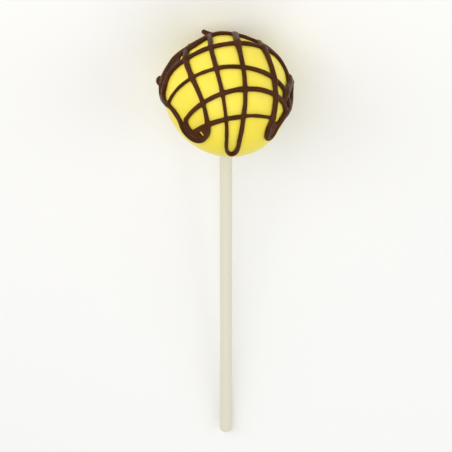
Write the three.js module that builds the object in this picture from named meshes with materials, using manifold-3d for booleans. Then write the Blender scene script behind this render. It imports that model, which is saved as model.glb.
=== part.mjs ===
// A cake pop: a ball of cake in a smooth yellow candy coating, with a lattice of
// dark chocolate piped over its top in two passes, on a white rolled-paper stick.
// It lies on its back: +Y runs along the stick towards the top of the ball, +Z is
// the decorated front, and the ball rests on a small flat spot at its back while
// the lower edge of the stick's far end touches the same plane.
// Lengths are millimetres, angles are degrees.

import * as THREE from 'three';
import { mergeVertices } from 'three/addons/utils/BufferGeometryUtils.js';
import Module from 'manifold-3d';

// ---------------------------------------------------------------- named sizes
const BALL_ACROSS = 40;        // coated ball, across
const BALL_TALL = 38.2;        // coated ball, along the stick
const REST_HEIGHT = 19.22;     // ball centre above the flat spot it lies on
const BALL_MIDDLE = [0.03, 62.9];   // ball centre in X and Y

const STICK_DIAMETER = 4;
const STICK_LENGTH = 150;
const STICK_INSIDE = 22;       // length of stick inside the cake
const STICK_EDGE = 0.25;       // small bevel on the stick's ends
const STICK_SIDES = 24;
const FIT_GAP = 0.3;           // clearance round the stick and under the lattice

const COLLAR_RISE = 1.5;       // coating gathered where the stick goes in
const COLLAR_SPREAD = 9.5;

const STRAND_WIDTH = 1.62;     // one piped line
const STRAND_RISE = 1.2;       // its crest above the coating
const STRAND_STEP = 9.2;       // angle between its facets on a straight run
const HOP_RISE = 0.5;          // how far a line climbs over the one it crosses
const HOP_SPREAD = 4.2;
const TIP = { foot: [-13.5, -37.5], peak: [-22.5, -39], rise: 3, thick: [1.9, 1.4] };   // where the last line began

const RINGS = 27;              // facets of the ball, pole to pole
const SEGMENTS = 44;           // and around it

// Low swells (+) and flats (-) of the hand-dipped ball:
// bearing from the front (+ to the right), height above the widest ring, spread, depth
const SWELLS = [
  [-76, -18, 25, -0.95],
  [-50, -38, 22, -0.75],
  [-18, -52, 20, -0.45],
  [44, -34, 24, 0.40],
  [88, 4, 30, -0.15],
  [-30, 38, 26, -0.20],
  [30, 58, 28, 0.20],
  [12, 4, 26, 0.15],
  [146, 30, 34, -0.35],
  [-132, 8, 30, 0.25],
  [-131, 40, 24, -0.85],
  [154, 49, 20, -0.60],
  [-139, 44, 13, -0.50],
];

// The lattice is laid out on a chart centred on the top of the ball: u is the
// angle to the right of the top, v the angle towards the front. A pass across
// runs in u with v = middle + tilt u + bow u^2; early and late are how far it
// curls forward beyond the start of its left and right ends, and dip is a local
// sag: where, how wide, how deep. A pass along runs in v and drifts from one u to
// another between two heights, its part behind that veering off and its front end
// hooking inwards. turn is how far the loop to the next pass swings out beyond the
// two passes' ends.
const ACROSS = [
  { middle: -57, tilt: 0.02, bow: 0.0042, from: -68, to: 66, turn: 15 },
  { middle: -33, tilt: -0.12, bow: 0.0046, dip: [-32, 14, 10], from: -68, to: 72, turn: 12 },
  { middle: -1.9, tilt: -0.248, bow: -0.0021, early: 8.5, late: 65, from: -72, to: 76, turn: 9 },
  { middle: 25.9, tilt: -0.094, bow: 0.00045, late: 5, from: -69, to: 79, turn: 9 },
  { middle: 49.4, tilt: -0.26, bow: 0.0007, late: 7, from: -48, to: 79, turn: 6 },
  { middle: 73, tilt: -0.188, bow: -0.0007, from: -45, to: 60 },
];
const ALONG_LEFT = [
  { drift: [-89, -60.4], between: [0, 66], veer: -0.75, from: -14, to: 70, turn: 16.5 },
  { drift: [-38.5, -22.6], between: [4, 72], veer: 0.04, from: -48, to: 78 },
];
const ALONG_RIGHT = [
  { drift: [-14.2, 0.7], between: [-9, 84], veer: 0.1, from: -38, to: 103, turn: 13 },
  { drift: [9.5, 20], between: [-20, 60], veer: 0.05, from: -46, to: 103, turn: 13 },
  { drift: [34, 61], between: [-35, 72], veer: 0.1, hook: 4, from: -46, to: 68, turn: 11 },
  { drift: [92, 74], between: [5, 68], veer: 0.45, from: -5, to: 68, turn: 6 },
  { drift: [75.5, 70], between: [2, 26], veer: 0.1, from: -4, to: 34 },
];
const EARLY = { start: 52, span: 20 };
const LATE = { start: 52, span: 38 };
const HOOK = { start: 56, span: 14 };

// where lines ran together into low pools: u, v, width, length, rise, turn
const POOLS = [
  [66, 71, 3.4, 5.8, 1.0, 8],          // the fused loop low on the right
  [66.9, 61.5, 4.4, 5.6, 0.95, 8],
  [-44, 83, 4.6, 2.9, 1.05, 0],        // the corner low on the left, round its small hole
  [-26.6, 83.5, 2.9, 2.6, 1.05, 0],
  [-58, -3, 8.2, 5.4, 0.8, 8],         // the thick edge high on the left
];

// the lumps at both sides: u, v, size
const DROPS = [
  [-79, -10, 1.35],
  [80, -10, 1.1],
];

// -------------------------------------------------------------------- frame
const rad = THREE.MathUtils.degToRad;
const stickEnd = STICK_LENGTH - (STICK_INSIDE - BALL_TALL / 2);   // below the ball's centre
const lean = Math.asin(REST_HEIGHT / Math.hypot(stickEnd - STICK_EDGE, STICK_DIAMETER / 2))
  - Math.atan2(STICK_DIAMETER / 2, stickEnd - STICK_EDGE);
const centre = new THREE.Vector3(BALL_MIDDLE[0], BALL_MIDDLE[1], REST_HEIGHT);
const toTop = new THREE.Vector3(0, Math.cos(lean), Math.sin(lean));
const toFront = new THREE.Vector3(0, -Math.sin(lean), Math.cos(lean));
const toRight = new THREE.Vector3(1, 0, 0);

// a direction from its parts to the right, to the front and to the top
const direction = (right, front, top) => new THREE.Vector3()
  .addScaledVector(toRight, right).addScaledVector(toFront, front).addScaledVector(toTop, top);

function bearing(around, above) {
  const c = Math.cos(rad(above));
  return direction(c * Math.sin(rad(around)), c * Math.cos(rad(around)), Math.sin(rad(above)));
}

function charted(u, v) {
  const away = Math.hypot(u, v);
  const k = away < 1e-6 ? 0 : Math.sin(rad(away)) / away;
  return direction(u * k, v * k, Math.cos(rad(away)));
}

// ------------------------------------------------------------ the dipped ball
const swells = SWELLS.map(([around, above, spread, depth]) => ({ way: bearing(around, above), spread, depth }));

function ballRadius(way) {
  const top = way.dot(toTop);
  let r = 1 / Math.sqrt((1 - top * top) / (BALL_ACROSS / 2) ** 2 + top * top / (BALL_TALL / 2) ** 2);
  for (const s of swells) {
    const off = THREE.MathUtils.radToDeg(way.angleTo(s.way)) / s.spread;
    r += s.depth * Math.exp(-off * off);
  }
  const fromStick = (180 - THREE.MathUtils.radToDeg(way.angleTo(toTop))) / COLLAR_SPREAD;
  return r + COLLAR_RISE * Math.exp(-fromStick * fromStick);
}

const onBall = (way, above) => way.clone().multiplyScalar(ballRadius(way) + above).add(centre);

function ballGeometry() {
  const profile = [];
  for (let i = 0; i <= RINGS; i++) {
    const s = i / RINGS;
    const fromBottom = Math.PI * (s - 0.035 * Math.sin(2 * Math.PI * s));
    profile.push(new THREE.Vector2(i % RINGS ? Math.sin(fromBottom) : 0, -Math.cos(fromBottom)));
  }
  const geometry = new THREE.LatheGeometry(profile, SEGMENTS);
  const at = geometry.attributes.position;
  for (let i = 0; i < at.count; i++) {
    const way = direction(at.getX(i), at.getZ(i), at.getY(i)).normalize();
    const p = onBall(way, 0);
    at.setXYZ(i, p.x, p.y, p.z);
  }
  // right, top, front is a right-handed set, so the lathe's own facing is kept
  return geometry;
}

// ------------------------------------------------------------ the piped lines
function passPoint(pass, s, across) {
  if (across) {
    const late = Math.max(0, s - LATE.start) / LATE.span;
    const early = Math.max(0, -s - EARLY.start) / EARLY.span;
    const [at, spread, depth] = pass.dip || [0, 1, 0];
    return new THREE.Vector2(s, pass.middle + pass.tilt * s + pass.bow * s * s
      + (pass.late || 0) * late * late + (pass.early || 0) * early * early
      + depth * Math.exp(-(((s - at) / spread) ** 2)));
  }
  const side = THREE.MathUtils.lerp(...pass.drift, THREE.MathUtils.smoothstep(s, ...pass.between));
  const hooked = (pass.hook || 0) * (Math.max(0, s - HOOK.start) / HOOK.span) ** 2;
  return new THREE.Vector2(side + pass.veer * Math.min(0, s - pass.between[0]) - hooked, s);
}

// one continuous line: passes run to and fro, joined by rounded turns
function zigzag(passes, across, forward) {
  const line = [];
  passes.forEach((pass, k) => {
    const go = k % 2 === 0 ? forward : !forward;
    const count = Math.max(4, Math.round((pass.to - pass.from) / STRAND_STEP));
    const points = [];
    for (let i = 0; i <= count; i++) {
      points.push(passPoint(pass, pass.from + (pass.to - pass.from) * i / count, across));
    }
    if (!go) points.reverse();
    if (k > 0) {
      const last = line[line.length - 1];
      const middle = last.clone().add(points[0]).multiplyScalar(0.5);
      const half = last.clone().sub(middle);
      const sign = go ? -1 : 1;
      const bulge = passes[k - 1].turn * sign;
      for (const step of [30, 60, 90, 120, 150]) {
        line.push(middle.clone().addScaledVector(half, Math.cos(rad(step)))
          .add(across ? new THREE.Vector2(bulge * Math.sin(rad(step)), 0)
            : new THREE.Vector2(0, bulge * Math.sin(rad(step)))));
      }
    }
    line.push(...points);
  });
  return line;
}

const acrossLine = zigzag(ACROSS, true, false);
const alongLines = [zigzag(ALONG_LEFT, false, true), zigzag(ALONG_RIGHT, false, true)];
const acrossWays = acrossLine.map(p => charted(p.x, p.y));
const acrossDense = new THREE.CatmullRomCurve3(acrossWays).getPoints(acrossWays.length * 6);

// extra height of a line where it climbs over a line laid before it
function hop(way) {
  let nearest = 180;
  for (const other of acrossDense) {
    nearest = Math.min(nearest, THREE.MathUtils.radToDeg(way.angleTo(other)));
  }
  return HOP_RISE * Math.exp(-((nearest / HOP_SPREAD) ** 2));
}

// a line on the ball whose section always stands square to the coating; its
// facets follow its own points, which lie closer together round the turns
class PipedLine extends THREE.CatmullRomCurve3 {
  getSpacedPoints(divisions) {
    return this.getPoints(divisions);
  }

  computeFrenetFrames(segments) {
    const tangents = [], normals = [], binormals = [];
    for (let i = 0; i <= segments; i++) {
      const t = this.getTangent(i / segments);
      const out = this.getPoint(i / segments).sub(centre).normalize();
      out.addScaledVector(t, -out.dot(t)).normalize();
      tangents.push(t);
      normals.push(out);
      binormals.push(new THREE.Vector3().crossVectors(t, out));
    }
    return { tangents, normals, binormals };
  }
}

// low round section: flat underneath, domed on top
function strandSection() {
  const half = STRAND_WIDTH / 2;
  const shape = new THREE.Shape();
  shape.moveTo(FIT_GAP, -half * 0.86);
  for (const angle of [-72, -28, 28, 72]) {
    const rise = FIT_GAP + (STRAND_RISE - FIT_GAP) * Math.cos(rad(angle)) ** 0.8;
    shape.lineTo(rise, half * Math.sin(rad(angle)) * 1.04);
  }
  shape.lineTo(FIT_GAP, half * 0.86);
  return shape;
}

function strandGeometry(chartPoints, overAcross) {
  const points = chartPoints.map(p => {
    const way = charted(p.x, p.y);
    return onBall(way, overAcross ? hop(way) : 0);
  });
  const line = new PipedLine(points, false, 'centripetal');
  return new THREE.ExtrudeGeometry(strandSection(), { steps: points.length - 1, extrudePath: line });
}

// the rounded drop left where a line starts or stops
function blobGeometry(point, size) {
  const way = charted(point.x, point.y);
  const blob = new THREE.IcosahedronGeometry(size, 1);
  blob.scale(1, 1, 0.8);
  blob.lookAt(way);
  const p = onBall(way, FIT_GAP + size * 0.82);
  blob.translate(p.x, p.y, p.z);
  return blob;
}

// a low pool of chocolate that follows the coating
function poolGeometry([u, v, wide, long, rise, turn]) {
  const way = charted(u, v);
  const x = new THREE.Vector3().crossVectors(toTop, way).normalize().applyAxisAngle(way, rad(turn));
  const y = new THREE.Vector3().crossVectors(way, x);
  const domed = f => FIT_GAP + (rise - FIT_GAP) * Math.sqrt(1 - f ** 4);
  const profile = [[0, FIT_GAP], [0.55, FIT_GAP], [0.97, FIT_GAP], [0.97, domed(0.97)], [0.86, domed(0.86)], [0.5, domed(0.5)], [0, rise]];
  const pool = new THREE.LatheGeometry(profile.map(p => new THREE.Vector2(...p)), 12);
  const at = pool.attributes.position;
  for (let i = 0; i < at.count; i++) {
    const out = way.clone().multiplyScalar(BALL_ACROSS / 2)
      .addScaledVector(x, at.getZ(i) * wide / 2).addScaledVector(y, at.getX(i) * long / 2).normalize();
    const p = onBall(out, at.getY(i));
    at.setXYZ(i, p.x, p.y, p.z);
  }
  return pool;
}

// the peak drawn up where the piping nozzle first touched, leaning to the left
function tipGeometry() {
  const foot = onBall(charted(...TIP.foot), FIT_GAP + 0.35);
  const peak = onBall(charted(...TIP.peak), TIP.rise);
  const way = peak.clone().sub(foot);
  const tip = new THREE.CylinderGeometry(TIP.thick[1] / 2, TIP.thick[0] / 2, way.length(), 8);
  tip.rotateX(Math.PI / 2).lookAt(way);
  return tip.translate((foot.x + peak.x) / 2, (foot.y + peak.y) / 2, (foot.z + peak.z) / 2);
}

// --------------------------------------------------------- joining and cutting
const wasm = await Module();
wasm.setup();

function solid(geometry) {
  let g = geometry.clone();
  g.deleteAttribute('normal');
  g.deleteAttribute('uv');
  g = mergeVertices(g, 1e-5);
  return new wasm.Manifold(new wasm.Mesh({
    numProp: 3,
    vertProperties: new Float32Array(g.attributes.position.array),
    triVerts: new Uint32Array(g.index.array),
  }));
}

function geometryOf(body) {
  const mesh = body.getMesh();
  const g = new THREE.BufferGeometry();
  g.setAttribute('position', new THREE.BufferAttribute(new Float32Array(mesh.vertProperties), 3));
  g.setIndex(new THREE.BufferAttribute(new Uint32Array(mesh.triVerts), 1));
  g.computeVertexNormals();
  return g;
}

function stickGeometry(radius, length, edge) {
  return new THREE.LatheGeometry([
    new THREE.Vector2(0, 0), new THREE.Vector2(radius - edge, 0), new THREE.Vector2(radius, edge),
    new THREE.Vector2(radius, length - edge), new THREE.Vector2(radius - edge, length), new THREE.Vector2(0, length),
  ], STICK_SIDES);
}

// the ball, less the hole its stick sits in and the slice that makes its flat spot
const hole = stickGeometry(STICK_DIAMETER / 2 + FIT_GAP, STICK_INSIDE + 20 + FIT_GAP, 0.01)
  .translate(0, -BALL_TALL / 2 - 20, 0).rotateX(lean).translate(centre.x, centre.y, centre.z);
const below = new THREE.BoxGeometry(BALL_ACROSS * 1.5, BALL_ACROSS * 1.5, 10)
  .translate(centre.x, centre.y, -5);
const ball = solid(ballGeometry()).subtract(solid(hole)).subtract(solid(below));

// the lattice: one line across, then the two lines along laid over it
let lattice = solid(strandGeometry(acrossLine, false));
for (const line of alongLines) lattice = lattice.add(solid(strandGeometry(line, true)));
const ends = [
  [acrossLine[0], 0.95], [acrossLine[acrossLine.length - 1], 0.95],
  [alongLines[0][0], 0.9], [alongLines[0][alongLines[0].length - 1], 0.9],
  [alongLines[1][0], 1.0], [alongLines[1][alongLines[1].length - 1], 0.9],
];
for (const [point, size] of ends) lattice = lattice.add(solid(blobGeometry(point, size)));
for (const [u, v, size] of DROPS) lattice = lattice.add(solid(blobGeometry({ x: u, y: v }, size)));
for (const pool of POOLS) lattice = lattice.add(solid(poolGeometry(pool)));
lattice = lattice.add(solid(tipGeometry()));

// ------------------------------------------------------------------ the scene
const coating = new THREE.MeshStandardMaterial({ name: 'yellow_coating', color: 0xf6dc35, roughness: 0.38, metalness: 0 });
const chocolate = new THREE.MeshStandardMaterial({ name: 'dark_chocolate', color: 0x3a1c16, roughness: 0.3, metalness: 0 });
const paper = new THREE.MeshStandardMaterial({ name: 'white_paper', color: 0xe6e3d4, roughness: 0.85, metalness: 0 });

const group = new THREE.Group();

const cakeBall = new THREE.Mesh(geometryOf(ball), coating);
cakeBall.name = 'cake_ball';
group.add(cakeBall);

const chocolateLattice = new THREE.Mesh(geometryOf(lattice), chocolate);
chocolateLattice.name = 'chocolate_lattice';
group.add(chocolateLattice);

const stick = new THREE.Mesh(stickGeometry(STICK_DIAMETER / 2, STICK_LENGTH, STICK_EDGE), paper);
stick.name = 'paper_stick';
stick.rotation.x = lean;
stick.position.copy(centre).addScaledVector(toTop, -stickEnd);
group.add(stick);

export default group;
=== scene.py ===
"""A cake pop lying on its back: a yellow coated ball, a lattice of piped dark
chocolate and a rolled-paper stick. Metres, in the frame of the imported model:
+Y along the stick to the top of the ball, +Z up towards the decorated front."""

import math

import bmesh
import bpy
import numpy as np
from mathutils import Matrix, Vector, noise


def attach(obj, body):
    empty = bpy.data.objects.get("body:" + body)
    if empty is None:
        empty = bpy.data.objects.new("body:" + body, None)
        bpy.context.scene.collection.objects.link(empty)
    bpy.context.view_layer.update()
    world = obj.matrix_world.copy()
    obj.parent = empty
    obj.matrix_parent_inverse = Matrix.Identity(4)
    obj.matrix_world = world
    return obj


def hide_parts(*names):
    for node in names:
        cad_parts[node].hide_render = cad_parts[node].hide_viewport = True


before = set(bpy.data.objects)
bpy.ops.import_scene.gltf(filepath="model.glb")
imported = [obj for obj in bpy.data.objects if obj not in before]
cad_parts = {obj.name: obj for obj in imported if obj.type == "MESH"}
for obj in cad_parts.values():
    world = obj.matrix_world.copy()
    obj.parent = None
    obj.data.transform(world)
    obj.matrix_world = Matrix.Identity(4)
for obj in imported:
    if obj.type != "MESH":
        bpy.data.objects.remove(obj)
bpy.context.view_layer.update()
MM = 0.001
RNG = np.random.default_rng(7)

# ------------------------------------------------------------ named sizes, mm
BALL_ACROSS, BALL_TALL = 40.0, 38.2
REST_HEIGHT = 19.22
BALL_MIDDLE = (0.03, 62.9)
STICK_DIAMETER, STICK_LENGTH, STICK_INSIDE = 4.0, 150.0, 22.0
STICK_EDGE = 0.25
COLLAR_RISE, COLLAR_SPREAD = 1.5, 9.5
STRAND_WIDTH, STRAND_RISE = 1.55, 1.15
HOP_RISE, HOP_SPREAD = 0.20, 3.9

# the hand-dipped ball's low swells and flats: bearing from the front, height
# above the widest ring, spread, depth (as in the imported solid)
SWELLS = [
    (-76, -18, 25, -0.95), (-50, -38, 22, -0.75), (-18, -52, 20, -0.45),
    (44, -34, 24, 0.40), (88, 4, 30, -0.15), (-30, 38, 26, -0.20),
    (30, 58, 28, 0.20), (12, 4, 26, 0.15), (146, 30, 34, -0.35), (-132, 8, 30, 0.25),
    (-131, 40, 24, -0.85), (154, 49, 20, -0.60), (-139, 44, 13, -0.50),
]

# the two zigzags of the lattice, on a chart centred on the ball's top: u is the
# angle to the right, v towards the front; thick scales a pass's width at even
# steps from its low end to its high end
ACROSS = [
    dict(middle=-57, tilt=0.02, bow=0.0042, lo=-68, hi=66, turn=15, thick=(1.0, 1.0)),
    dict(middle=-33, tilt=-0.12, bow=0.0046, dip=(-32, 14, 10), lo=-68, hi=72, turn=12, thick=(1.8, 1.9, 1.1, 0.95, 1.0)),
    dict(middle=-1.9, tilt=-0.248, bow=-0.0021, early=8.5, late=65, lo=-72, hi=76, turn=9, thick=(1.4, 1.05, 1.12, 1.1, 1.05)),
    dict(middle=25.9, tilt=-0.094, bow=0.00045, late=5, lo=-69, hi=79, turn=9, thick=(0.70, 0.72, 0.93, 1.05, 1.1)),
    dict(middle=49.4, tilt=-0.26, bow=0.0007, late=7, lo=-48, hi=79, turn=6, thick=(0.95, 1.0, 1.08, 1.12, 1.1)),
    dict(middle=73, tilt=-0.188, bow=-0.0007, lo=-45, hi=60, turn=0, thick=(1.25, 1.12, 0.98, 0.76, 0.80)),
]
ALONG_LEFT = [
    dict(drift=(-89, -60.4), between=(0, 66), veer=-0.75, lo=-14, hi=70, turn=16.5, thick=(1.6, 1.25, 1.05, 1.0, 1.25)),
    dict(drift=(-38.5, -22.6), between=(4, 72), veer=0.04, lo=-48, hi=78, turn=0, thick=(1.2, 1.3, 1.42, 1.15, 0.86, 1.05)),
]
ALONG_RIGHT = [
    dict(drift=(-14.2, 0.7), between=(-9, 84), veer=0.1, lo=-38, hi=103, turn=13, thick=(1.2, 1.08, 0.94, 0.74, 0.82)),
    dict(drift=(9.5, 20.0), between=(-20, 60), veer=0.05, lo=-46, hi=103, turn=13, thick=(1.3, 1.42, 0.88, 0.92, 1.0)),
    dict(drift=(34, 61), between=(-35, 72), veer=0.1, hook=4, lo=-46, hi=68, turn=11, thick=(1.1, 1.35, 1.25, 1.25, 1.2)),
    dict(drift=(92, 74), between=(5, 68), veer=0.45, lo=-5, hi=68, turn=6, thick=(1.4, 1.5, 1.5, 1.25)),
    dict(drift=(75.5, 70), between=(2, 26), veer=0.1, lo=-4, hi=34, turn=0, thick=(1.9, 2.0, 1.7, 1.2)),
]
LATE_START, LATE_SPAN = 52, 38
EARLY_START, EARLY_SPAN = 52, 20
HOOK_START, HOOK_SPAN = 56, 14

# -------------------------------------------------------------------- frame
stick_end = STICK_LENGTH - (STICK_INSIDE - BALL_TALL / 2)
lean = (math.asin(REST_HEIGHT / math.hypot(stick_end - STICK_EDGE, STICK_DIAMETER / 2))
        - math.atan2(STICK_DIAMETER / 2, stick_end - STICK_EDGE))
CENTRE = np.array([BALL_MIDDLE[0], BALL_MIDDLE[1], REST_HEIGHT])
TO_TOP = np.array([0, math.cos(lean), math.sin(lean)])
TO_FRONT = np.array([0, -math.sin(lean), math.cos(lean)])
TO_RIGHT = np.array([1.0, 0, 0])


def direction(right, front, top):
    return (np.multiply.outer(right, TO_RIGHT) + np.multiply.outer(front, TO_FRONT)
            + np.multiply.outer(top, TO_TOP))


def bearing(around, above):
    a, b = math.radians(around), math.radians(above)
    return direction(math.cos(b) * math.sin(a), math.cos(b) * math.cos(a), math.sin(b))


def charted(uv):
    uv = np.atleast_2d(np.asarray(uv, float))
    away = np.hypot(uv[:, 0], uv[:, 1]) + 1e-9
    k = np.sin(np.radians(away)) / away
    return direction(uv[:, 0] * k, uv[:, 1] * k, np.cos(np.radians(away)))


def angle_between(ways, way):
    return np.degrees(np.arccos(np.clip(ways @ way, -1, 1)))


def waves(ways, seed, scale, octaves=1):
    """Smooth noise over directions, about -1 to 1."""
    off = Vector((seed * 13.7, seed * 7.3, seed * 3.1))
    out = np.empty(len(ways))
    for i, w in enumerate(ways):
        p = Vector(w) * scale + off
        v, amp = 0.0, 1.0
        for _ in range(octaves):
            v += noise.noise(p) * amp
            p, amp = p * 2.1, amp * 0.5
        out[i] = v
    return out


SWELL_WAYS = [(bearing(a, b), s, d) for a, b, s, d in SWELLS]


def ball_radius(ways):
    top = ways @ TO_TOP
    r = 1 / np.sqrt((1 - top ** 2) / (BALL_ACROSS / 2) ** 2 + top ** 2 / (BALL_TALL / 2) ** 2)
    for way, spread, depth in SWELL_WAYS:
        r += depth * np.exp(-(angle_between(ways, way) / spread) ** 2)
    return r + COLLAR_RISE * np.exp(-((180 - angle_between(ways, TO_TOP)) / COLLAR_SPREAD) ** 2)


def ball_relief(ways):
    """Soft dimples and ripples of a hand-dipped coating, mm."""
    r = 0.10 * waves(ways, 3, 2.3) + 0.045 * waves(ways, 5, 5.0)
    from_stick = 180 - angle_between(ways, TO_TOP)
    ring = np.exp(-((from_stick - 7) / 6.0) ** 2)
    return r + ring * 0.35 * waves(ways, 9, 14.0)


# ---------------------------------------------------------------- mesh helpers
def new_object(name, verts, faces, smooth=True):
    mesh = bpy.data.meshes.new(name)
    mesh.from_pydata([tuple(v) for v in verts], [], [tuple(f) for f in faces])
    mesh.validate()
    mesh.update()
    ob = bpy.data.objects.new(name, mesh)
    bpy.context.scene.collection.objects.link(ob)
    if smooth:
        mesh.shade_smooth()
    return ob


def cube_sphere(n):
    """Directions and quads of a sphere with even faces, n by n on each side."""
    t = np.tan(np.linspace(-math.pi / 4, math.pi / 4, n + 1))
    verts, faces, index = [], [], {}
    axes = [(0, 1, 2, 1), (0, 1, 2, -1), (1, 2, 0, 1), (1, 2, 0, -1), (2, 0, 1, 1), (2, 0, 1, -1)]
    for a, b, c, sign in axes:
        ids = np.empty((n + 1, n + 1), int)
        for i in range(n + 1):
            for j in range(n + 1):
                p = [0.0, 0.0, 0.0]
                p[a], p[b], p[c] = t[i], t[j], float(sign)
                key = tuple(round(x, 6) for x in p)
                if key not in index:
                    index[key] = len(verts)
                    verts.append(p)
                ids[i, j] = index[key]
        for i in range(n):
            for j in range(n):
                q = (ids[i, j], ids[i + 1, j], ids[i + 1, j + 1], ids[i, j + 1])
                faces.append(q if sign > 0 else q[::-1])
    v = np.array(verts)
    return v / np.linalg.norm(v, axis=1)[:, None], faces


# ------------------------------------------------------------- the coated ball
def make_ball():
    ways, faces = cube_sphere(84)
    r = ball_radius(ways) + ball_relief(ways)
    p = ways * r[:, None] + CENTRE
    # the flat spot: the coating rests pressed level, with a softly rounded rim
    level, soft = 0.004, 0.05
    p[:, 2] = level + soft * np.logaddexp(0, (p[:, 2] - level) / soft)
    return new_object("coated_ball", p * MM, faces)


# ------------------------------------------------------------ the piped lattice
def pass_point(q, s, across):
    s = np.asarray(s, float)
    if across:
        late = np.maximum(0, s - LATE_START) / LATE_SPAN
        early = np.maximum(0, -s - EARLY_START) / EARLY_SPAN
        at, spread, depth = q.get("dip", (0, 1, 0))
        return np.stack([s, q["middle"] + q["tilt"] * s + q["bow"] * s * s
                         + q.get("late", 0) * late ** 2 + q.get("early", 0) * early ** 2
                         + depth * np.exp(-((s - at) / spread) ** 2)], -1)
    a, b = q["between"]
    x = np.clip((s - a) / (b - a), 0, 1)
    side = q["drift"][0] + (q["drift"][1] - q["drift"][0]) * x * x * (3 - 2 * x)
    side = side + q["veer"] * np.minimum(0, s - a)
    return np.stack([side - q.get("hook", 0) * (np.maximum(0, s - HOOK_START) / HOOK_SPAN) ** 2, s], -1)


def zigzag(passes, across, forward, step=7.5):
    """Chart points and thickness of one continuous line."""
    line, thick = [], []
    for k, q in enumerate(passes):
        go = forward if k % 2 == 0 else not forward
        n = max(4, round((q["hi"] - q["lo"]) / step))
        s = np.linspace(q["lo"], q["hi"], n + 1)
        pts = pass_point(q, s, across)
        th = np.interp(s, np.linspace(q["lo"], q["hi"], len(q["thick"])), q["thick"])
        if not go:
            pts, th = pts[::-1], th[::-1]
        if k:
            last, middle = line[-1], (line[-1] + pts[0]) / 2
            bulge = passes[k - 1]["turn"] * (-1 if go else 1)
            out = np.array([bulge, 0]) if across else np.array([0, bulge])
            t0, t1 = thick[-1], th[0]
            for a in (30, 60, 90, 120, 150):
                c, sn = math.cos(math.radians(a)), math.sin(math.radians(a))
                line.append(middle + (last - middle) * c + out * sn)
                thick.append((t0 + (t1 - t0) * a / 180) * (1 + 0.10 * sn))
        line += list(pts)
        thick += list(th)
    return np.array(line), np.array(thick)


def catmull(points, n):
    """Evenly parametrised Catmull-Rom curve through rows of numbers."""
    p = np.vstack([2 * points[0] - points[1], points, 2 * points[-1] - points[-2]])
    out = []
    t = np.linspace(0, 1, n, endpoint=False)[:, None]
    for i in range(1, len(p) - 2):
        a, b, c, d = p[i - 1], p[i], p[i + 1], p[i + 2]
        out.append(0.5 * ((2 * b) + (c - a) * t + (2 * a - 5 * b + 4 * c - d) * t ** 2
                          + (3 * b - a - 3 * c + d) * t ** 3))
    out.append(points[-1][None])
    return np.vstack(out)


def resample(rows, spacing):
    """Rows whose first three columns are a place, at even steps along it."""
    d = np.linalg.norm(np.diff(rows[:, :3], axis=0), axis=1)
    s = np.concatenate([[0], np.cumsum(d)])
    n = max(8, int(s[-1] / spacing))
    t = np.linspace(0, s[-1], n + 1)
    return np.stack([np.interp(t, s, rows[:, k]) for k in range(rows.shape[1])], -1), t


across_line = zigzag(ACROSS, True, False)
along_lines = [zigzag(ALONG_LEFT, False, True), zigzag(ALONG_RIGHT, False, True)]
across_dense = charted(catmull(across_line[0], 10))


def bead(name, line, thick, seed, over):
    """One piped line: a settled bead whose width, height and course vary as a hand moves."""
    ways = charted(line)
    spread = catmull(np.column_stack([ways * 20, thick]), 8)
    rows, t = resample(spread, 0.32)
    ways = rows[:, :3] / np.linalg.norm(rows[:, :3], axis=1)[:, None]
    scale = rows[:, 3]
    tt = np.column_stack([t / 6.0, np.full(len(t), seed * 5.1), np.zeros(len(t))])
    wob = np.array([noise.noise(Vector(v)) for v in tt])
    wid = np.array([noise.noise(Vector((v[0] * 1.7, v[1] + 9, 3))) for v in tt])
    fine = np.array([noise.noise(Vector((v[0] * 5.0, v[1] + 31, 7))) for v in tt])
    width = STRAND_WIDTH * scale * (1 + 0.16 * wid + 0.05 * fine)
    rise = STRAND_RISE * (0.55 + 0.45 * scale) * (1 + 0.10 * wid)
    base = ball_radius(ways) + ball_relief(ways)
    p0 = ways * base[:, None]
    tangent = np.gradient(p0, axis=0)
    tangent /= np.linalg.norm(tangent, axis=1)[:, None]
    side = np.cross(tangent, ways)
    side /= np.linalg.norm(side, axis=1)[:, None]
    out = np.cross(side, tangent)
    p0 = p0 + side * (0.16 * wob)[:, None]
    hop = np.zeros(len(ways))
    if over:
        near = np.degrees(np.arccos(np.clip((ways @ across_dense.T).max(axis=1), -1, 1)))
        hop = HOP_RISE * np.exp(-(near / HOP_SPREAD) ** 2)
        width = width * (1 + 0.16 * np.exp(-(near / 3.2) ** 2))
    # bead section: settled foot, full shoulders, domed crest
    around = np.radians([-128, -104, -80, -56, -34, -14, 14, 34, 56, 80, 104, 128])
    verts, faces = [], []
    m = len(around)
    ends = np.minimum(1, np.minimum(t, t[-1] - t) / 0.8)
    taper = np.sqrt(np.clip(1 - (1 - ends) ** 2, 0.0, 1))
    for i in range(len(ways)):
        h = rise[i] * (0.35 + 0.65 * taper[i]) + hop[i]
        half_h = (h + 0.28) / 2
        mid = h - half_h
        w = width[i] / 2 * max(0.12, taper[i])
        for a in around:
            x, y = math.sin(a), math.cos(a)
            y = y * half_h + mid
            verts.append(CENTRE + p0[i] + side[i] * (x * w) + out[i] * max(y, -0.22))
    for i in range(len(ways) - 1):
        for j in range(m):
            k = (j + 1) % m
            faces.append((i * m + j, i * m + k, (i + 1) * m + k, (i + 1) * m + j))
    faces.append(tuple(range(m))[::-1])
    faces.append(tuple((len(ways) - 1) * m + j for j in range(m)))
    return np.array(verts), faces


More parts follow.
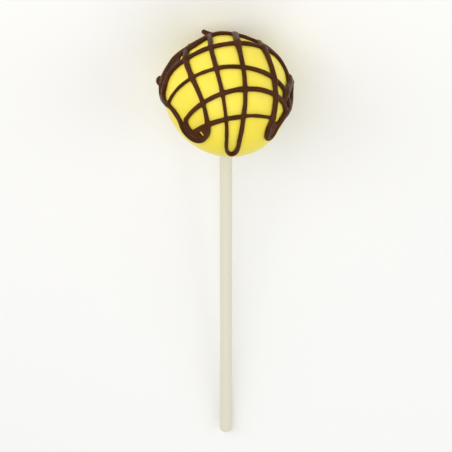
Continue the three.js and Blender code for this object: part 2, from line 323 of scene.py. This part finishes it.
def drop(u, v, wide, tall, stretch=(1, 1), turn=0.0):
    """A rounded mound of chocolate on the coating."""
    way = charted([(u, v)])[0]
    foot = CENTRE + way * ball_radius(way[None])[0]
    x = np.cross(TO_TOP, way)
    x /= np.linalg.norm(x)
    y = np.cross(way, x)
    c, s = math.cos(math.radians(turn)), math.sin(math.radians(turn))
    x, y = x * c + y * s, y * c - x * s
    ways, faces = cube_sphere(8)
    p = (foot + np.outer(ways[:, 0] * wide / 2 * stretch[0], x)
         + np.outer(ways[:, 1] * wide / 2 * stretch[1], y)
         + np.outer(ways[:, 2] * (tall + 0.3) / 2 + (tall - 0.3) / 2, way))
    return p, faces


def puddle(u, v, wide, long, tall, turn=0.0):
    """Run-together chocolate: a low round-edged patch that follows the coating."""
    way = charted([(u, v)])[0]
    x = np.cross(TO_TOP, way)
    x /= np.linalg.norm(x)
    y = np.cross(way, x)
    c, s = math.cos(math.radians(turn)), math.sin(math.radians(turn))
    x, y = x * c + y * s, y * c - x * s
    around, rings = 28, 7
    base = ball_radius(way[None])[0]
    verts, faces = [], []
    for below in (False, True):
        for k in range(rings + 1):
            f = math.sin(math.pi / 2 * k / rings)
            for j in range(around):
                a = 2 * math.pi * j / around
                w = way * base + x * (math.cos(a) * f * wide / 2) + y * (math.sin(a) * f * long / 2)
                w /= np.linalg.norm(w)
                high = -0.22 if below else -0.22 + (tall + 0.22) * math.sqrt(max(0, 1 - f ** 4))
                verts.append(CENTRE + w * (ball_radius(w[None])[0] + high))
    def index(below, k, j):
        return (rings + 1) * around * below + k * around + j % around
    for below in (0, 1):
        for k in range(rings):
            for j in range(around):
                q = (index(below, k, j), index(below, k + 1, j), index(below, k + 1, j + 1), index(below, k, j + 1))
                faces.append(q[::-1] if below else q)
    for j in range(around):
        faces.append((index(0, rings, j), index(1, rings, j), index(1, rings, j + 1), index(0, rings, j + 1)))
    return np.array(verts), faces


def fill(line, wide, tall):
    """Run-together chocolate: a thin web between two passes, along a line."""
    rows = catmull(np.column_stack([charted(line) * 20, wide]), 8)
    rows, t = resample(rows, 0.25)
    ways = rows[:, :3] / np.linalg.norm(rows[:, :3], axis=1)[:, None]
    p0 = ways * (ball_radius(ways) + ball_relief(ways))[:, None]
    tangent = np.gradient(p0, axis=0)
    tangent /= np.linalg.norm(tangent, axis=1)[:, None]
    side = np.cross(tangent, ways)
    side /= np.linalg.norm(side, axis=1)[:, None]
    reach = np.minimum(1, np.minimum(t, t[-1] - t) / 0.6)
    hollow = 0.7 * (np.maximum(0, 1 - t / 1.8) - np.maximum(0, 1 - (t[-1] - t) / 1.8))
    taper = np.sqrt(np.clip(1 - (1 - reach) ** 2, 0.02, 1))
    across = np.linspace(-1, 1, 13)
    verts, faces, m = [], [], 26
    for i in range(len(ways)):
        low, high = [], []
        for x in across:
            out = (ways[i] * np.linalg.norm(p0[i]) + tangent[i] * hollow[i] * (1 - x * x)
                   + side[i] * (x * (0.8 + 0.2 * taper[i]) * rows[i, 3] / 2))
            out /= np.linalg.norm(out)
            level = np.linalg.norm(p0[i])
            low.append(CENTRE + out * (level - 0.24))
            high.append(CENTRE + out * (level - 0.22 + (tall + 0.22) * taper[i] ** 0.5
                                        * math.sqrt(max(0, 1 - x ** 4))))
        verts += high + low[::-1]
    for i in range(len(ways) - 1):
        for j in range(m):
            k = (j + 1) % m
            faces.append((i * m + j, i * m + k, (i + 1) * m + k, (i + 1) * m + j))
    faces.append(tuple(range(m))[::-1])
    faces.append(tuple((len(ways) - 1) * m + j for j in range(m)))
    return np.array(verts), faces


def horn(u, v, lean_u, lean_v, rise, base, top):
    """The little peak drawn up where the piping began."""
    foot = CENTRE + charted([(u, v)])[0] * (ball_radius(charted([(u, v)]))[0] + 0.2)
    way = charted([(u + lean_u, v + lean_v)])[0]
    peak = CENTRE + way * (ball_radius(way[None])[0] + rise)
    axis = peak - foot
    side = np.cross(axis, TO_TOP)
    side /= np.linalg.norm(side)
    other = np.cross(axis, side)
    other /= np.linalg.norm(other)
    verts, faces, m, n = [], [], 12, 10
    for i in range(n + 1):
        f = i / n
        r = (base * (1 - f) ** 1.3 + top * f) * (math.sqrt(max(0.02, 1 - max(0, (f - 0.82) / 0.18) ** 2)))
        bend = 0.35 * math.sin(f * math.pi * 0.9)
        c = foot + axis * f + other * bend * 0.3
        for j in range(m):
            a = 2 * math.pi * j / m
            verts.append(c + side * r * math.cos(a) + other * r * math.sin(a))
    for i in range(n):
        for j in range(m):
            k = (j + 1) % m
            faces.append((i * m + j, i * m + k, (i + 1) * m + k, (i + 1) * m + j))
    faces.append(tuple(range(m))[::-1])
    faces.append(tuple(n * m + j for j in range(m)))
    return np.array(verts), faces


def make_lattice():
    parts = [bead("across", across_line[0], across_line[1], 1, False)]
    for k, (line, thick) in enumerate(along_lines):
        parts.append(bead("along", line, thick, 2 + k, True))
    a, l, r = across_line[0], along_lines[0][0], along_lines[1][0]
    parts += [
        drop(a[0][0], a[0][1], 2.0, 1.2), drop(a[-1][0], a[-1][1], 1.8, 1.3),
        drop(l[0][0], l[0][1], 1.9, 1.3), drop(l[-1][0], l[-1][1], 2.0, 1.3),
        drop(r[0][0], r[0][1], 2.0, 1.5), drop(r[-1][0], r[-1][1], 1.9, 1.3),
        # the fused loop low on the right
        fill([(66, 79), (66, 71), (66.6, 64), (67.2, 57.5)], (3.0, 4.1, 4.5, 4.5), 0.85),
        # the corner low on the left, run together round a small hole
        puddle(-44, 83, 4.6, 3.0, 1.08), puddle(-26.6, 83.5, 2.9, 2.8, 1.05),
        # the thick edge high on the left, with a small gap beside the along pass
        fill([(-69, 3.9), (-62, -0.1), (-56, -2.9), (-50.5, -4.1), (-45.2, -4.6)], (4.4, 5.1, 5.5, 5.9, 6.0), 0.5),
        # the lumps at both sides
        drop(-79, -10, 2.4, 2.6, (0.9, 1.6)), drop(80, -10, 2.1, 2.0, (1.2, 1.3)),
        horn(-13.5, -37.5, -9, -1.5, 3.1, 1.1, 0.8),
    ]
    verts, faces = [], []
    for v, f in parts:
        off = len(verts)
        verts += list(v)
        faces += [tuple(i + off for i in q) for q in f]
    ob = new_object("piped_lattice", np.array(verts) * MM, faces)
    remesh = ob.modifiers.new("join", "REMESH")
    remesh.mode = "VOXEL"
    remesh.voxel_size = 0.205 * MM
    remesh.adaptivity = 0
    smooth = ob.modifiers.new("settle", "SMOOTH")
    smooth.factor = 0.5
    smooth.iterations = 5
    apply_modifiers(ob)
    ob.data.shade_smooth()
    return ob


def apply_modifiers(ob):
    dg = bpy.context.evaluated_depsgraph_get()
    mesh = bpy.data.meshes.new_from_object(ob.evaluated_get(dg))
    old = ob.data
    ob.modifiers.clear()
    ob.data = mesh
    bpy.data.meshes.remove(old)


# -------------------------------------------------------------- the paper stick
def make_stick():
    """Rolled paper: a hair-thin step runs along it where the sheet ends, and the roll's turns show round a pinhole at
    the outer end."""
    length, radius = STICK_LENGTH, STICK_DIAMETER / 2
    around, seam = 96, 0.055
    verts, faces = [], []

    def ring(along, r, dip=0.0):
        ids = []
        for j in range(around):
            a = 2 * math.pi * j / around
            rr = r - (seam * (j / around) if r > radius * 0.9 else 0)
            spiral = math.sin(2 * math.pi * (r / 0.34 + j / around))
            deep = dip * (0.5 + 0.5 * spiral)
            x, z = rr * math.cos(a + 2.4), rr * math.sin(a + 2.4)
            ids.append(len(verts))
            verts.append(CENTRE + TO_RIGHT * x + TO_FRONT * z - TO_TOP * (stick_end - along - deep))
        return ids

    rings = []
    for r in np.linspace(0.22, radius - STICK_EDGE, 26):
        rings.append(ring(0.0, r, 0.07))
    for k in range(1, 5):
        a = math.pi / 2 * k / 4
        rings.append(ring(STICK_EDGE * (1 - math.cos(a)), radius - STICK_EDGE * (1 - math.sin(a))))
    for s in np.linspace(STICK_EDGE, length - STICK_EDGE, 150)[1:]:
        rings.append(ring(s, radius + 0.010 * math.sin(s * 0.9) * math.sin(s * 0.23)))
    for k in range(1, 5):
        a = math.pi / 2 * k / 4
        rings.append(ring(length - STICK_EDGE * (1 - math.sin(a)), radius - STICK_EDGE * (1 - math.cos(a))))
    rings.append(ring(length, 0.22))
    for lower, upper in zip(rings, rings[1:]):
        for j in range(around):
            k = (j + 1) % around
            faces.append((lower[j], upper[j], upper[k], lower[k]))
    # the pinhole down the roll's middle
    hole = [ring(d, 0.2 - 0.02 * d) for d in (0.25, 0.8, 1.4)]
    prev = rings[0]
    for h in hole:
        for j in range(around):
            k = (j + 1) % around
            faces.append((prev[j], prev[k], h[k], h[j]))
        prev = h
    tip = len(verts)
    verts.append(CENTRE - TO_TOP * (stick_end - 1.45))
    for j in range(around):
        faces.append((prev[j], prev[(j + 1) % around], tip))
    tip = len(verts)
    verts.append(CENTRE - TO_TOP * (stick_end - length))
    for j in range(around):
        faces.append((rings[-1][j], tip, rings[-1][(j + 1) % around]))
    ob = new_object("rolled_stick", np.array(verts) * MM, faces)
    bm = bmesh.new()
    bm.from_mesh(ob.data)
    bmesh.ops.recalc_face_normals(bm, faces=bm.faces)
    bm.to_mesh(ob.data)
    bm.free()
    ob.data.shade_smooth()
    return ob


# ------------------------------------------------------------------- materials
class Nodes:
    def __init__(self, name):
        self.mat = bpy.data.materials.new(name)
        self.mat.use_nodes = True
        self.tree = self.mat.node_tree
        self.shader = next(n for n in self.tree.nodes if n.type == "BSDF_PRINCIPLED")
        self.geo = self.new("ShaderNodeTexCoord")
        self.place = self.geo.outputs["Object"]

    def new(self, kind, **values):
        n = self.tree.nodes.new(kind)
        for key, value in values.items():
            if hasattr(n, key):
                setattr(n, key, value)
            else:
                n.inputs[key.replace("_", " ")].default_value = value
        return n

    def link(self, a, b):
        self.tree.links.new(a, b)

    def noise(self, scale, detail=2.0, rough=0.5, distort=0.0, place=None):
        n = self.new("ShaderNodeTexNoise")
        n.inputs["Scale"].default_value = scale
        n.inputs["Detail"].default_value = detail
        n.inputs["Roughness"].default_value = rough
        n.inputs["Distortion"].default_value = distort
        self.link(place or self.place, n.inputs["Vector"])
        return n.outputs["Fac"]

    def ramp(self, fac, stops):
        n = self.new("ShaderNodeValToRGB")
        e = n.color_ramp.elements
        while len(e) < len(stops):
            e.new(0.5)
        for el, (pos, col) in zip(e, stops):
            el.position = pos
            el.color = (*col, 1) if len(col) == 3 else col
        self.link(fac, n.inputs["Fac"])
        return n.outputs["Color"]

    def math(self, op, a, b=0.0, clamp=False):
        n = self.new("ShaderNodeMath", operation=op)
        n.use_clamp = clamp
        for i, x in enumerate((a, b)):
            if isinstance(x, (int, float)):
                n.inputs[i].default_value = x
            else:
                self.link(x, n.inputs[i])
        return n.outputs[0]

    def mix(self, fac, a, b):
        n = self.new("ShaderNodeMix", data_type="RGBA")
        for name, x in ((0, fac), (6, a), (7, b)):
            if isinstance(x, (int, float)):
                n.inputs[name].default_value = x
            elif isinstance(x, tuple):
                n.inputs[name].default_value = (*x, 1)
            else:
                self.link(x, n.inputs[name])
        return n.outputs[2]

    def bump(self, height, distance, strength=1.0, normal=None):
        n = self.new("ShaderNodeBump")
        n.inputs["Distance"].default_value = distance
        n.inputs["Strength"].default_value = strength
        self.link(height, n.inputs["Height"])
        if normal is not None:
            self.link(normal, n.inputs["Normal"])
        return n.outputs["Normal"]

    def put(self, socket, value):
        if isinstance(value, (int, float)):
            self.shader.inputs[socket].default_value = value
        elif isinstance(value, tuple):
            self.shader.inputs[socket].default_value = value if len(value) != 3 or "Radius" in socket else (*value, 1)
        else:
            self.link(value, self.shader.inputs[socket])


def coating_material():
    """Opaque candy coating: satin, faintly translucent, with soft waves left by dipping, a fine skin and a few
    pin-prick bubbles. Its colour also carries painted shade: a deeper, less blue yellow towards the stick end."""
    m = Nodes("yellow_coating")
    broad = m.noise(95, 2, 0.5)
    mid = m.noise(420, 3, 0.55)
    fine = m.noise(2600, 3, 0.6)
    base = m.ramp(broad, [(0.30, (0.925, 0.735, 0.060)), (0.50, (0.940, 0.770, 0.076)), (0.72, (0.948, 0.792, 0.092))])
    coat_tone_and_painted_shade = m.mix(m.math("MULTIPLY", mid, 0.22), base, (0.950, 0.812, 0.125))
    # painted shade: towards the stick end of the ball the coating turns a deeper, less blue yellow, standing in for the
    # shade and the dimmer reflections on its underside
    split = m.new("ShaderNodeSeparateXYZ")
    m.link(m.place, split.inputs[0])
    low = m.math("MULTIPLY", m.math("SUBTRACT", BALL_MIDDLE[1] * MM, split.outputs["Y"]), 62.0, True)
    coat_tone_and_painted_shade = m.mix(m.math("MULTIPLY", low, 0.85), coat_tone_and_painted_shade, (0.945, 0.782, 0.034))
    m.put("Base Color", coat_tone_and_painted_shade)
    m.put("Roughness", m.math("ADD", m.math("MULTIPLY", mid, 0.18), 0.27))
    m.put("IOR", 1.46)
    m.put("Specular IOR Level", 0.26)
    m.put("Subsurface Weight", 0.18)
    m.put("Subsurface Radius", (1.0, 0.72, 0.16))
    m.put("Subsurface Scale", 0.0012)
    m.put("Coat Weight", 0.04)
    m.put("Coat Roughness", 0.20)
    pits = m.new("ShaderNodeTexVoronoi", feature="F1")
    pits.inputs["Scale"].default_value = 330
    pits.inputs["Randomness"].default_value = 1.0
    m.link(m.place, pits.inputs["Vector"])
    pit = m.math("LESS_THAN", pits.outputs["Distance"], 0.10)
    keep = m.math("GREATER_THAN", m.noise(150, 1), 0.60)
    pit = m.math("MULTIPLY", pit, keep)
    h1 = m.bump(mid, 0.00013, 1.0)
    h2 = m.bump(fine, 0.000018, 1.0, h1)
    h3 = m.bump(m.math("MULTIPLY", pit, -1.0), 0.00010, 0.6, h2)
    m.put("Normal", h3)
    return m.mat


def chocolate_material():
    """Set dark chocolate: deep warm brown, semi-gloss, with a faint bloom."""
    m = Nodes("dark_chocolate")
    broad = m.noise(160, 2, 0.5)
    mid = m.noise(900, 3, 0.55)
    m.put("Base Color", m.ramp(broad, [(0.25, (0.049, 0.0128, 0.0014)), (0.55, (0.066, 0.0180, 0.0022)), (0.80, (0.084, 0.0270, 0.0062))]))
    m.put("Roughness", m.math("ADD", m.math("MULTIPLY", broad, 0.22), 0.22))
    m.put("IOR", 1.46)
    m.put("Specular IOR Level", 0.13)
    m.put("Subsurface Weight", 0.05)
    m.put("Subsurface Radius", (1.0, 0.35, 0.15))
    m.put("Subsurface Scale", 0.0004)
    n = m.bump(mid, 0.00005, 1.0)
    m.put("Normal", m.bump(m.noise(4200, 2), 0.000008, 1.0, n))
    return m.mat


def paper_material():
    """Smooth rolled paper: warm white, matte, with faint fibres along the roll."""
    m = Nodes("white_paper")
    turn = m.new("ShaderNodeMapping")
    turn.inputs["Rotation"].default_value = (-lean, 0, 0)
    m.link(m.place, turn.inputs["Vector"])
    along = m.new("ShaderNodeMapping")
    along.inputs["Scale"].default_value = (1, 0.30, 1)
    m.link(turn.outputs[0], along.inputs["Vector"])
    fibre = m.noise(4200, 4, 0.55, 0.2, along.outputs[0])
    blotch = m.noise(120, 2, 0.5, 0, turn.outputs[0])
    base = m.ramp(fibre, [(0.25, (0.722, 0.704, 0.556)), (0.55, (0.758, 0.743, 0.604)), (0.85, (0.785, 0.773, 0.644))])
    m.put("Base Color", m.mix(m.math("MULTIPLY", blotch, 0.30), base, (0.756, 0.726, 0.572)))
    m.put("Roughness", m.math("ADD", m.math("MULTIPLY", fibre, 0.2), 0.62))
    m.put("IOR", 1.45)
    m.put("Specular IOR Level", 0.3)
    m.put("Subsurface Weight", 0.06)
    m.put("Subsurface Radius", (1.0, 0.9, 0.75))
    m.put("Subsurface Scale", 0.0006)
    m.put("Normal", m.bump(fibre, 0.00003, 0.7))
    return m.mat


def floor_material():
    m = Nodes("pale_floor")
    m.put("Base Color", m.ramp(m.noise(3, 1), [(0.3, (0.90, 0.90, 0.89)), (0.7, (0.92, 0.92, 0.91))]))
    m.put("Roughness", 0.75)
    m.put("Specular IOR Level", 0.2)
    return m.mat


# ------------------------------------------------------------------- assembling
ball = make_ball()
ball.data.materials.append(coating_material())
lattice = make_lattice()
lattice.data.materials.clear()
lattice.data.materials.append(chocolate_material())
stick = make_stick()
stick.data.materials.append(paper_material())
for piece, node, slot in ((ball, "cake_ball", "yellow_coating"), (lattice, "chocolate_lattice", "dark_chocolate"),
                          (stick, "paper_stick", "white_paper")):
    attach(piece, "root")
    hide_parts(node)

# ------------------------------------------------------------- floor and lights
bpy.ops.mesh.primitive_plane_add(size=6, location=(0, 0, -0.00002))
floor = bpy.context.object
floor.name = "floor"
floor.data.materials.append(floor_material())


def area(name, at, aim, size, power, colour=(1, 1, 1)):
    data = bpy.data.lights.new(name, "AREA")
    data.shape = "RECTANGLE"
    data.size, data.size_y = size
    data.energy = power
    data.color = colour
    ob = bpy.data.objects.new(name, data)
    bpy.context.scene.collection.objects.link(ob)
    ob.location = at
    ob.rotation_euler = (Vector(aim) - Vector(at)).to_track_quat("-Z", "Y").to_euler()
    return ob


aim = Vector(CENTRE * MM)
area("key", aim + Vector((-0.28, 0.55, 0.80)), aim, (0.9, 0.9), 4.75, (1.0, 0.99, 0.97))
area("left", aim + Vector((-0.72, 0.34, 0.42)), aim, (0.6, 0.6), 1.5, (1.0, 0.99, 0.97))
area("right", aim + Vector((0.70, 0.2, 0.50)), aim, (0.6, 0.6), 1.7, (0.98, 0.99, 1.0))
area("front", aim + Vector((0.22, -0.60, 0.60)), aim, (0.8, 0.5), 1.3, (1.0, 0.99, 0.97))
area("rim", aim + Vector((-0.10, 0.95, 0.16)), aim, (0.7, 0.2), 0.35, (1.0, 1.0, 1.0))

world = bpy.data.worlds.new("studio")
bpy.context.scene.world = world
world.use_nodes = True
world.node_tree.nodes["Background"].inputs["Color"].default_value = (1.0, 1.0, 1.0, 1)
world.node_tree.nodes["Background"].inputs["Strength"].default_value = 0.50

# ----------------------------------------------------------------------- camera
# 38 degrees above the ball's widest ring, seen along the decorated front
VIEW_ABOVE, DISTANCE, LENS = 38.0, 850.0, 216.0
away = math.cos(math.radians(VIEW_ABOVE)) * TO_FRONT + math.sin(math.radians(VIEW_ABOVE)) * TO_TOP
cam_at = CENTRE + away * DISTANCE
target = CENTRE - TO_TOP * 54.0
back = (cam_at - target) / np.linalg.norm(cam_at - target)
up = np.cross(back, TO_RIGHT)
cam_data = bpy.data.cameras.new("camera")
cam = bpy.data.objects.new("camera", cam_data)
bpy.context.scene.collection.objects.link(cam)
cam.matrix_world = Matrix([
    (TO_RIGHT[0], up[0], back[0], cam_at[0] * MM),
    (TO_RIGHT[1], up[1], back[1], cam_at[1] * MM),
    (TO_RIGHT[2], up[2], back[2], cam_at[2] * MM),
    (0, 0, 0, 1),
])
cam_data.sensor_fit = "HORIZONTAL"
cam_data.sensor_width = 36.0
cam_data.lens = LENS
cam_data.clip_start, cam_data.clip_end = 0.05, 20
bpy.context.scene.camera = cam
bpy.context.scene.view_settings.view_transform = "Standard"
bpy.context.scene.view_settings.look = "None"
